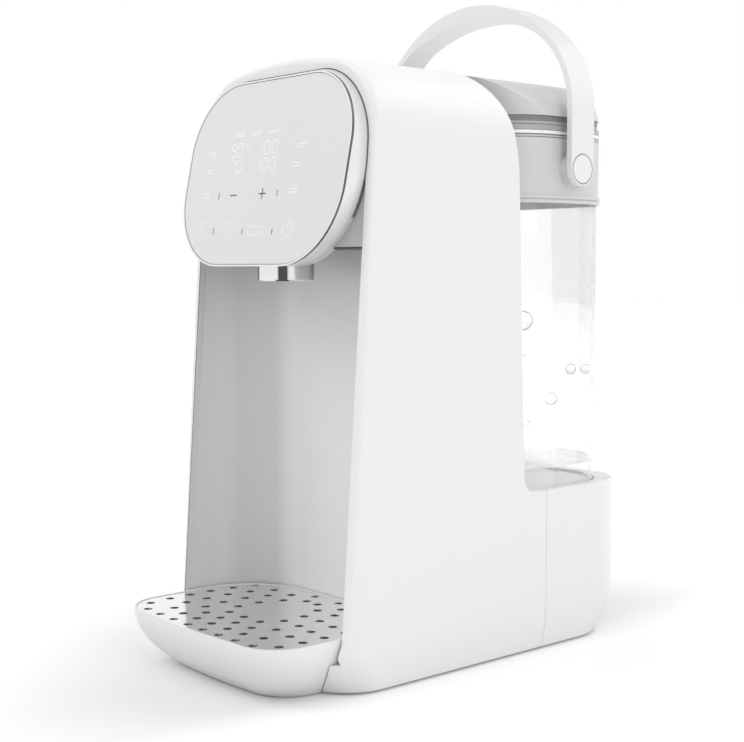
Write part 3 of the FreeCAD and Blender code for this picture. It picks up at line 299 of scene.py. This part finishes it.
# Ceiling from its underside up, with a painted shadow line where it starts.
CEILING_PAINTED_SHADOW_LINE = ((0.0, 0.05), (0.08, 0.05), (0.10, 0.56), (1.0, 0.52))
CEILING_REACH = 10 * MM
# Stripes of the rim band and the lid seal from bottom to top: painted highlights and painted shadow lines
# on their own greys.
BAND_PAINTED_LIGHT = ((0.0, 0.24), (0.07, 0.24), (0.10, 0.60), (0.19, 0.60), (0.22, 0.17), (0.29, 0.17),
              (0.32, 0.95), (0.54, 0.95), (0.57, 0.28), (0.61, 0.28), (0.64, 0.42), (1.0, 0.40))
SEAL_PAINTED_LIGHT = ((0.0, 0.40), (0.20, 0.42), (0.24, 0.58), (0.30, 0.58), (0.35, 0.25), (0.62, 0.23),
              (0.66, 0.18), (0.72, 0.24), (0.90, 0.22), (0.94, 0.14))
# Nozzle sleeve from side to side: painted reflections, the dark and bright bands of a chrome sleeve.
NOZZLE_PAINTED_REFLECTIONS = ((0.0, 0.06), (0.035, 0.06), (0.05, 0.97), (0.375, 0.97), (0.40, 0.06), (0.545, 0.06),
                (0.57, 0.86), (0.67, 0.84), (0.69, 0.88), (0.90, 0.80), (0.99, 0.30))
# Clear material from seen square on to seen edge on, with painted shade that darkens the edges.
TANK_EDGE_PAINTED_SHADE = ((0.0, 1.0), (0.60, 1.0), (0.68, 0.84), (0.84, 0.74), (0.92, 0.58), (1.0, 0.30))
# Drops: painted shade darkening their rims where they are seen edge on.
DROP_RIM_PAINTED_SHADE = ((0.0, 1.0), (0.32, 1.0), (0.46, 0.50), (0.65, 0.26), (1.0, 0.12))
# Trim ring: its own bright grey in front, painted shade on its rim and painted light on its left side.
TRIM_RIM_PAINTED_SHADE = 0.11
TRIM_BRIGHT = 0.88
TRIM_FRONT_TURN = (0.5, 0.8)
TRIM_LEFT_PAINTED_LIGHT = 0.48
TRIM_MIDDLE = 30 * MM
TANK_SEEN_THROUGH = 0.25
TANK_SHADOW_THROUGH = 0.92


def plastic(name, rough_low, rough_high, grain=0.04):
    """Moulded plastic: uneven gloss and a fine spark-eroded grain."""
    shader = Shader(name)
    shader.rough(shader.noise(GLOSS_SCALE), rough_low, rough_high)
    shader.bump(shader.noise(GRAIN_SCALE, 2.0), grain, GRAIN_DEPTH)
    return shader


def tinted_plastic(name, low, high, rough_low, rough_high, grain=0.04):
    """Moulded plastic with a faint colour drift between two colours."""
    shader = plastic(name, rough_low, rough_high, grain)
    shader.tint(shader.noise(DRIFT_SCALE), low, high)
    return shader


def white_shell():
    shell = plastic("shell_white", *WHITE_ROUGH)
    # Painted shade by how far each face looks up.
    shell.bands(shell.upward(), SHELL_PAINTED_SHADE)
    return shell.set(IOR=PLASTIC_IOR)


def white_cowl():
    """White shell whose left wall has the niche's grey on its inner face."""
    cowl = plastic("cowl_white", *WHITE_ROUGH)
    facing_in = cowl.facing(RIGHT, *CHEEK_TURN)
    on_left = cowl.along(LEFT, *CHEEK_FROM_MIDDLE)
    cheek = cowl.joined("MULTIPLY", facing_in, on_left)
    # Outside faces: painted shade by how far each face looks up.
    outer = cowl.greys(cowl.upward(), SHELL_PAINTED_SHADE)
    # Inner face: a painted shadow line at the wall's front edge, then the niche's grey.
    inner = cowl.greys(cowl.along(BEHIND_LIP, LIP_PLACE, LIP_PLACE + CHEEK_DEPTH), CHEEK_SHADOW_LINE_AND_GREY)
    cowl.colour(cowl.mixed(cheek, outer, inner))
    return cowl.set(IOR=PLASTIC_IOR)


def white_strap():
    strap = plastic("strap_white", *WHITE_ROUGH)
    # Painted shade by how far each face looks up.
    strap.bands(strap.upward(), STRAP_PAINTED_SHADE)
    return strap.set(IOR=PLASTIC_IOR)


def white_cap():
    cap = plastic("cap_white", *WHITE_ROUGH)
    # Painted shadow line round the cap's rim.
    cap.bands(cap.from_axis(HANDLE_PIVOT, BESIDE_X, 0.0, CAP_REACH), CAP_RIM_PAINTED_SHADOW)
    return cap.set(IOR=PLASTIC_IOR)


def white_head():
    head = Shader("head_white")
    # Painted shade darkening towards the seam, with a painted shadow line in the seam above the seam
    # heights.
    seam_shadow = head.spread(head.height(*SEAM_SHADOW_HEIGHTS), SEAM_SHADOW_SHOWS_FROM, 1.0)
    to_lip = head.along(BEHIND_LIP, LIP_PLACE - HEAD_BEFORE_LIP, LIP_PLACE + HEAD_BEHIND_LIP)
    head.bands(head.joined("MINIMUM", to_lip, seam_shadow), HEAD_PAINTED_SHADE)
    head.rough(head.noise(GLOSS_SCALE), 0.16, 0.22)
    return head.set(IOR=PLASTIC_IOR)


def grey_collar():
    """Collar with painted light where it faces the water, so the tank's inside stays bright."""
    collar = plastic("collar_grey", 0.30, 0.38)
    collar.tint(collar.outward(TANK_AXIS), grey(COLLAR_INSIDE_PAINTED_LIGHT), grey(COLLAR_OUTSIDE))
    return collar.set(IOR=PLASTIC_IOR)


def silver_niche():
    niche = Shader("niche_silver")
    # Painted shade by how far each face looks to the front.
    niche.bands(niche.facing(FRONT, 0.0, 1.0), NICHE_PAINTED_SHADE)
    niche.rough(niche.noise(30.0, stretch=(1, 1, 0.1)), 0.42, 0.52)
    niche.bump(niche.noise(1800.0, 2.0), 0.03, NICHE_GRAIN_DEPTH)
    return niche.set(Metallic=0.12, IOR=PLASTIC_IOR)


def silver_ceiling():
    ceiling = Shader("ceiling_silver")
    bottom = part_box("head_ceiling")[0].z
    # Painted shadow line along the ceiling's lower edge.
    ceiling.bands(ceiling.height(bottom, bottom + CEILING_REACH), CEILING_PAINTED_SHADOW_LINE)
    ceiling.rough(ceiling.noise(30.0), 0.34, 0.44)
    return ceiling.set(Metallic=0.2, IOR=PLASTIC_IOR)


def panel_glass():
    panel = Shader("panel_face")
    panel.tint(panel.noise(7.0, 1.0), grey(0.765), grey(0.785))
    panel.rough(panel.noise(40.0, 1.0), 0.10, 0.15)
    return panel.set(Coat_Weight=0.6, Coat_Roughness=0.04, IOR=PLASTIC_IOR)


def bright_trim():
    """Ring with a bright front, painted shade on its rim, and painted light that makes it lighter on the
    left.
    """
    trim = Shader("trim_bright")
    left = trim.spread(trim.along(LEFT, -TRIM_MIDDLE, TRIM_MIDDLE), 0.0, TRIM_LEFT_PAINTED_LIGHT)
    front = trim.facing(PANEL_FACING, *TRIM_FRONT_TURN)
    trim.tint(trim.joined("MAXIMUM", front, left), grey(TRIM_RIM_PAINTED_SHADE), grey(TRIM_BRIGHT))
    trim.rough(trim.noise(90.0), 0.12, 0.2)
    return trim.set(IOR=PLASTIC_IOR)


def band_with_painted_light():
    band = Shader("band_grey")
    low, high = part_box("rim_band")
    # Painted highlight and shadow lines up the band.
    band.bands(band.height(low.z, high.z), BAND_PAINTED_LIGHT)
    band.rough(band.noise(80.0, stretch=(1, 1, 6)), 0.22, 0.30)
    return band


def seal_with_painted_light():
    """Seal whose own dark grey carries stripes of painted highlight and shadow, starting at the top of the
    band below it.
    """
    seal = Shader("seal_grey")
    # Painted highlight and shadow lines up the seal.
    seal.bands(seal.height(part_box("rim_band")[1].z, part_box("lid_seal")[1].z), SEAL_PAINTED_LIGHT)
    seal.rough(seal.noise(90.0), 0.5, 0.62)
    return seal


def nozzle_chrome():
    chrome = Shader("chrome")
    # Painted reflections: dark and bright bands by which way each face turns across the sleeve.
    chrome.bands(chrome.facing(NOZZLE_REFLECTIONS_ACROSS, -1.0, 1.0), NOZZLE_PAINTED_REFLECTIONS)
    chrome.rough(chrome.noise(120.0), 0.10, 0.16)
    return chrome.set(Metallic=0.35)


def brushed_grille():
    grille = Shader("grille_steel")
    grille.tint(grille.noise(11.0), grey(0.85), grey(0.91))
    grille.rough(grille.noise(500.0, stretch=(0.04, 1, 1)), 0.12, 0.22)
    grille.bump(grille.noise(900.0, stretch=(0.03, 1, 1)), 0.05, GRAIN_DEPTH)
    return grille.set(Metallic=1.0, Anisotropic=0.4)


def plain_steel():
    steel = Shader("plain_steel")
    steel.tint(steel.noise(60.0), grey(0.45), grey(0.52))
    steel.rough(steel.noise(300.0), 0.25, 0.38)
    return steel.set(Metallic=1.0)


def clear_tank():
    tank = Shader("clear_tank")
    tank.rough(tank.noise(12.0), 0.0, 0.02)
    # Painted shade darkening the tank's edges where they are seen edge on.
    tank.bands(tank.edge_on(), TANK_EDGE_PAINTED_SHADE)
    tank.set(Transmission_Weight=1.0, IOR=TANK_IOR)
    tank.pass_light(TANK_SEEN_THROUGH, TANK_SHADOW_THROUGH)
    return tank


def water_drop():
    drop = Shader("water_bead")
    drop.rough(drop.noise(50.0), 0.0, 0.015)
    # Painted shade darkening the drops' rims.
    drop.bands(drop.edge_on(), DROP_RIM_PAINTED_SHADE)
    return drop.set(Transmission_Weight=1.0, IOR=DROP_IOR)


def panel_mark(name, low, high):
    mark = Shader(name)
    mark.tint(mark.noise(200.0), grey(low), grey(high))
    mark.rough(mark.noise(100.0), 0.2, 0.3)
    return mark


def make_materials():
    shaders = (
        white_shell(), white_cowl(), white_strap(), white_cap(), white_head(), grey_collar(),
        tinted_plastic("lid_grey", grey(0.64), grey(0.67), 0.30, 0.38).set(IOR=PLASTIC_IOR),
        tinted_plastic("soft_grey", grey(0.28), grey(0.33), 0.55, 0.68, 0.1),
        tinted_plastic("dark_rubber", grey(0.02), grey(0.035), 0.65, 0.8, 0.15),
        tinted_plastic("dark_plastic", grey(0.012), grey(0.02), 0.4, 0.55, 0.1),
        tinted_plastic("inner_grey", grey(0.2), grey(0.24), 0.45, 0.6, 0.1),
        tinted_plastic("hose_silicone", grey(0.5), grey(0.58), 0.35, 0.5, 0.05),
        tinted_plastic("board_green", (0.01, 0.1, 0.035), (0.015, 0.14, 0.05), 0.3, 0.42, 0.05),
        silver_niche(), silver_ceiling(), panel_glass(), bright_trim(), band_with_painted_light(), seal_with_painted_light(),
        nozzle_chrome(), brushed_grille(), plain_steel(), clear_tank(), water_drop(),
        panel_mark("mark_light", 0.90, 0.94), panel_mark("mark_dark", 0.09, 0.12),
    )
    return {shader.name: shader.material for shader in shaders}


NODE_FINISH = {
    "body_cowl": "cowl_white", "dock_cover": "shell_white", "drip_tray": "shell_white",
    "carry_handle": "strap_white", "pivot_caps": "cap_white", "column_cover": "shell_white",
    "head_pod": "head_white", "panel_trim_ring": "trim_bright", "control_glass": "panel_face",
    "niche_liner": "niche_silver", "head_ceiling": "ceiling_silver",
    "nozzle_sleeve": "chrome", "nozzle_outlet": "soft_grey", "drip_grille": "grille_steel",
    "water_tank": "clear_tank", "tank_collar": "collar_grey", "tank_lid": "lid_grey",
    "rim_band": "band_grey", "lid_seal": "seal_grey",
    "valve_body": "dark_plastic", "valve_plunger": "lid_grey", "valve_spring": "plain_steel",
    "dock_socket": "dark_plastic", "dock_seal": "soft_grey", "pivot_pins": "plain_steel",
    "base_plate": "inner_grey", "rubber_feet": "dark_rubber", "base_screws": "plain_steel",
    "screw_posts": "inner_grey", "display_board": "board_green", "display_module": "dark_plastic",
    "inner_frame": "inner_grey", "flow_heater": "plain_steel", "heater_clips": "dark_plastic",
    "water_pump": "dark_plastic", "pump_mount": "dark_rubber", "suction_hose": "hose_silicone",
    "pressure_hose": "hose_silicone", "outlet_hose": "hose_silicone", "control_board": "board_green",
    "board_parts": "dark_plastic", "board_standoffs": "inner_grey", "power_inlet": "dark_plastic",
}


def add_piece(name, bm, material):
    """A new object from a finished bmesh, which is freed."""
    mesh = bpy.data.meshes.new(name)
    bm.to_mesh(mesh)
    bm.free()
    mesh.materials.append(material)
    piece = bpy.data.objects.new(name, mesh)
    bpy.context.scene.collection.objects.link(piece)
    return piece


def finish_nodes(materials):
    for name, finish in NODE_FINISH.items():
        mesh = nodes[name].data
        mesh.materials.clear()
        mesh.materials.append(materials[finish])


# ---------------------------------------------------------------- panel graphics, in millimetres of x and z
MARK_PROUD = 0.06 * MM
MITRE_LEAST = 0.35
DIGIT_GAP = 0.35
# Figures, lower left corner, width, height and pitch.
NUMBERS = (("90", -32.6, 292.1, 4.4, 7.3, 6.6), ("100", -8.1, 292.1, 4.6, 7.3, 7.2),
           ("70", -31.2, 282.9, 4.2, 6.8, 6.2), ("100", -7.4, 282.9, 4.4, 6.8, 6.9))
# Bars above the figures: their middles, and the height and half length of each row.
TOP_BARS = (-27.0, -10.8, 5.3)
TOP_ROWS = ((305.2, 5.2), (304.0, 4.6))
# Bars beside the figures: the middle of each pair, and the rise and half length of its two bars.
SIDE_BARS = ((-51.6, 295.0), (-52.1, 284.6), (-51.2, 271.0), (32.6, 295.0), (30.6, 284.7), (31.7, 270.6))
SIDE_ROWS = ((0.9, 4.2), (-0.9, 3.2))
# Each tick's x, top and bottom.
TICKS = ((-38.2, 272.0, 268.0), (17.4, 271.6, 268.2), (-38.1, 251.6, 247.7), (-9.8, 250.8, 247.7),
         (18.2, 250.6, 247.2))
# Which of the seven strokes each figure is made of.
SEGMENTS = {"0": "abcdef", "1": "bc", "7": "abc", "9": "abcdfg"}


class Panel:
    """The tilted front plane of the control glass, read from its box."""

    def __init__(self):
        glass_low, glass_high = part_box("control_glass")
        self.front_y = glass_low.y
        self.front_z = glass_low.z + GLASS_THICKNESS * math.sin(PANEL_LEAN)

    def point(self, x, z, proud):
        y = self.front_y + (z * MM - self.front_z) * math.tan(PANEL_LEAN)
        return Vector((x * MM, y - proud, z * MM))


def ribbon(bm, panel, points, width, closed=False):
    """Flat raised stroke along (x, z) points on the panel, mitred at its corners."""
    count = len(points)
    sides = []
    for index in range(count):
        before = points[index - 1] if closed or index else None
        after = points[(index + 1) % count] if closed or index < count - 1 else None
        here = Vector(points[index])
        runs = []
        if before is not None:
            runs.append((here - Vector(before)).normalized())
        if after is not None:
            runs.append((Vector(after) - here).normalized())
        across = sum((Vector((-run.y, run.x)) for run in runs), Vector((0, 0))).normalized()
        lean = max(MITRE_LEAST, across.dot(Vector((-runs[0].y, runs[0].x))))
        reach = across * (width / 2 / lean)
        sides.append((here + reach, here - reach))
    rows = []
    for left, right in sides:
        ring = ((left, -MARK_PROUD), (left, MARK_PROUD), (right, MARK_PROUD), (right, -MARK_PROUD))
        rows.append([bm.verts.new(panel.point(*corner, proud)) for corner, proud in ring])
    last = count if closed else count - 1
    for index in range(last):
        here, onward = rows[index], rows[(index + 1) % count]
        for side in range(4):
            turn = (side + 1) % 4
            bm.faces.new((here[side], here[turn], onward[turn], onward[side]))
    if not closed:
        bm.faces.new(rows[0][::-1])
        bm.faces.new(rows[-1])


def arc_points(x, z, radius, start, end, steps=14):
    """Points along an arc round (x, z), from one angle to another in degrees."""
    turns = [math.radians(start + (end - start) * step / steps) for step in range(steps + 1)]
    return [(x + radius * math.cos(turn), z + radius * math.sin(turn)) for turn in turns]


def digit_strokes(figure, x, z, width, height):
    """Seven-segment strokes of one figure with its lower left corner at (x, z)."""
    gap = DIGIT_GAP
    half = height / 2
    lines = {
        "a": [(x + gap, z + height), (x + width - gap, z + height)],
        "b": [(x + width, z + height - gap), (x + width, z + half + gap)],
        "c": [(x + width, z + half - gap), (x + width, z + gap)],
        "d": [(x + gap, z), (x + width - gap, z)],
        "e": [(x, z + half - gap), (x, z + gap)],
        "f": [(x, z + height - gap), (x, z + half + gap)],
        "g": [(x + gap, z + half), (x + width - gap, z + half)],
    }
    return [lines[segment] for segment in SEGMENTS[figure]]


def number_strokes(figures, x, z, width, height, pitch):
    """Strokes of figures in a row, whose first has its lower left corner at (x, z)."""
    strokes = []
    for index, figure in enumerate(figures):
        strokes += digit_strokes(figure, x + index * pitch, z, width, height)
    return strokes


def stroke_piece(name, panel, strokes, loops, width, material):
    """One piece on the glass from open strokes and closed loops of points."""
    bm = bmesh.new()
    for points in strokes:
        ribbon(bm, panel, points, width)
    for points in loops:
        ribbon(bm, panel, points, width, closed=True)
    bmesh.ops.recalc_face_normals(bm, faces=bm.faces)
    piece = add_piece(name, bm, material)
    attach(piece, "housing")


def bar(x, z, half):
    return [(x - half, z), (x + half, z)]


def make_panel_marks(materials):
    panel = Panel()
    light = materials["mark_light"]
    dark = materials["mark_dark"]
    digits = []
    for number in NUMBERS:
        digits += number_strokes(*number)
    degree = [arc_points(-18.0, 298.2, 0.9, 0, 330, 10)]
    stroke_piece("panel_digits", panel, digits, degree, 1.0, light)

    bars = [bar(x, z, half) for x in TOP_BARS for z, half in TOP_ROWS]
    bars += [bar(x, z + rise, half) for x, z in SIDE_BARS for rise, half in SIDE_ROWS]
    stroke_piece("panel_indicator_bars", panel, bars, [], 0.8, light)

    minus = [bar(-24.1, 270.0, 3.2)]
    plus = [bar(3.6, 270.0, 3.1), [(3.6, 272.9), (3.6, 267.1)]]
    stroke_piece("panel_minus_plus", panel, minus + plus, [], 0.7, dark)
    ticks = [[(x, top), (x, bottom)] for x, top, bottom in TICKS]
    stroke_piece("panel_ticks", panel, ticks, [], 0.45, dark)

    lock = [[(-53.2, 252.0), *arc_points(-51.2, 253.0, 2.0, 180, 0), (-49.2, 252.0)]]
    lock_case = [[(-54.6, 246.4), (-47.8, 246.4), (-47.8, 251.8), (-54.6, 251.8)]]
    drop = [[(-24.0, 255.4), *arc_points(-24.0, 250.0, 3.1, 35, -215, 18)]]
    pill = [[*arc_points(7.5, 249.4, 2.4, 90, -90, 8), *arc_points(-2.0, 249.4, 2.4, 270, 90, 8)]]
    power = [arc_points(31.6, 250.0, 4.3, 60, -240, 22), [(31.6, 255.4), (31.6, 250.4)]]
    stroke_piece("panel_icons", panel, lock + power, lock_case + drop + pill, 0.6, light)


# ---------------------------------------------------------------- water beads in the tank
# Each drop's y, z and radius in millimetres.
BEADS = ((54.7, 197.2, 6.0), (54.6, 178.1, 2.2), (91.4, 167.0, 3.4), (106.4, 166.3, 3.0),
         (74.3, 149.8, 4.0), (57.6, 135.5, 2.2))
# Thickness of a drop by its width, and its middle's distance from the wall by its radius.
BEAD_ROUND = 0.85
BEAD_INWARD = 0.6


def make_beads(materials):
    """Drops that cling to the inside of the tank's +X wall."""
    tank = nodes["water_tank"].data
    corners = [vertex.co for vertex in tank.vertices]
    tree = BVHTree.FromPolygons(corners, [face.vertices for face in tank.polygons])
    flat = Matrix.Diagonal((BEAD_ROUND, 1.0, 1.0, 1.0))
    bm = bmesh.new()
    for y, z, radius in BEADS:
        wall, normal, _, _ = tree.ray_cast(Vector((0, y * MM, z * MM)), Vector(RIGHT))
        turn = normal.to_track_quat("X", "Z").to_matrix().to_4x4()
        inward = -normal if normal.x > 0 else normal
        place = Matrix.Translation(wall + inward * (BEAD_INWARD * radius * MM))
        bmesh.ops.create_uvsphere(bm, u_segments=32, v_segments=20, radius=radius * MM,
                                  matrix=place @ turn @ flat)
    for face in bm.faces:
        face.smooth = True
    piece = add_piece("water_beads", bm, materials["water_bead"])
    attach(piece, "tank")


# ---------------------------------------------------------------- stage and light
def camera_like(tree):
    """One where a ray comes from the camera, a mirror or clear material, else zero."""
    rays = tree.nodes.new("ShaderNodeLightPath").outputs
    seen = rays["Is Camera Ray"]
    for kind in ("Is Glossy Ray", "Is Transmission Ray"):
        either = tree.nodes.new("ShaderNodeMath")
        either.operation = "MAXIMUM"
        tree.links.new(seen, either.inputs[0])
        tree.links.new(rays[kind], either.inputs[1])
        seen = either.outputs[0]
    return seen


WORLD_LIGHT = 0.70
FLOOR_HALF = 6.0
# The floor's glow rises with the distance from the object's middle, and more on its right and left.
GLOW_NEAR = 0.03
GLOW_FAR = 0.42
GLOW_REACH = (0.16, 0.42)
RIGHT_GLOW = 0.16
RIGHT_REACH = (0.05, 0.09)
LEFT_GLOW = 0.10
LEFT_REACH = (0.0, 0.09)
# Each lamp's name, place, size and power.
LAMPS = (("key", (-0.9, -1.3, 1.5), 1.1, 9.0), ("side", (1.7, -0.3, 0.8), 1.2, 6.0),
         ("back", (0.6, 1.4, 1.3), 1.3, 6.5))
LIT_POINT = Vector((0, 0, 0.17))


def make_world():
    world = bpy.data.worlds.new("studio")
    bpy.context.scene.world = world
    world.use_nodes = True
    tree = world.node_tree
    strength = tree.nodes.new("ShaderNodeMapRange")
    strength.inputs["To Min"].default_value = WORLD_LIGHT
    strength.inputs["To Max"].default_value = 1.0
    tree.links.new(camera_like(tree), strength.inputs["Value"])
    background = tree.nodes["Background"]
    background.inputs["Color"].default_value = (1, 1, 1, 1)
    tree.links.new(strength.outputs["Result"], background.inputs["Strength"])


def floor_material():
    """Pale floor whose glow only the camera, mirrors and clear material see."""
    shader = Shader("floor_pale")
    shader.set(Base_Color=(0.9, 0.9, 0.9, 1), Roughness=0.9, Specular_IOR_Level=0.1,
               Emission_Color=(1, 1, 1, 1))
    away = shader.from_axis((0.0, 0.0, 0.0), BESIDE_Z, *GLOW_REACH)
    around = shader.spread(away, GLOW_NEAR, GLOW_FAR)
    right = shader.spread(shader.along(RIGHT, *RIGHT_REACH), 0.0, RIGHT_GLOW)
    left = shader.spread(shader.along(LEFT, *LEFT_REACH), 0.0, LEFT_GLOW)
    whole = shader.joined("ADD", around, shader.joined("ADD", right, left))
    glow = shader.joined("MULTIPLY", camera_like(shader.tree), whole)
    shader.link(glow, shader.surface.inputs["Emission Strength"])
    return shader.material


def make_floor():
    bm = bmesh.new()
    corners = ((-1, -1), (1, -1), (1, 1), (-1, 1))
    bm.faces.new([bm.verts.new((x * FLOOR_HALF, y * FLOOR_HALF, 0)) for x, y in corners])
    floor = add_piece("floor", bm, floor_material())


def make_lights():
    for name, place, size, power in LAMPS:
        data = bpy.data.lights.new(name, "AREA")
        data.shape = "SQUARE"
        data.size = size
        data.energy = power
        light = bpy.data.objects.new(name, data)
        light.location = place
        light.rotation_mode = "QUATERNION"
        light.rotation_quaternion = (LIT_POINT - Vector(place)).to_track_quat("-Z", "Y")
        bpy.context.scene.collection.objects.link(light)


# ---------------------------------------------------------------- build
bpy.context.scene.view_settings.view_transform = "Standard"
make_camera()
materials = make_materials()
finish_nodes(materials)
make_panel_marks(materials)
make_beads(materials)
make_world()
make_floor()
make_lights()
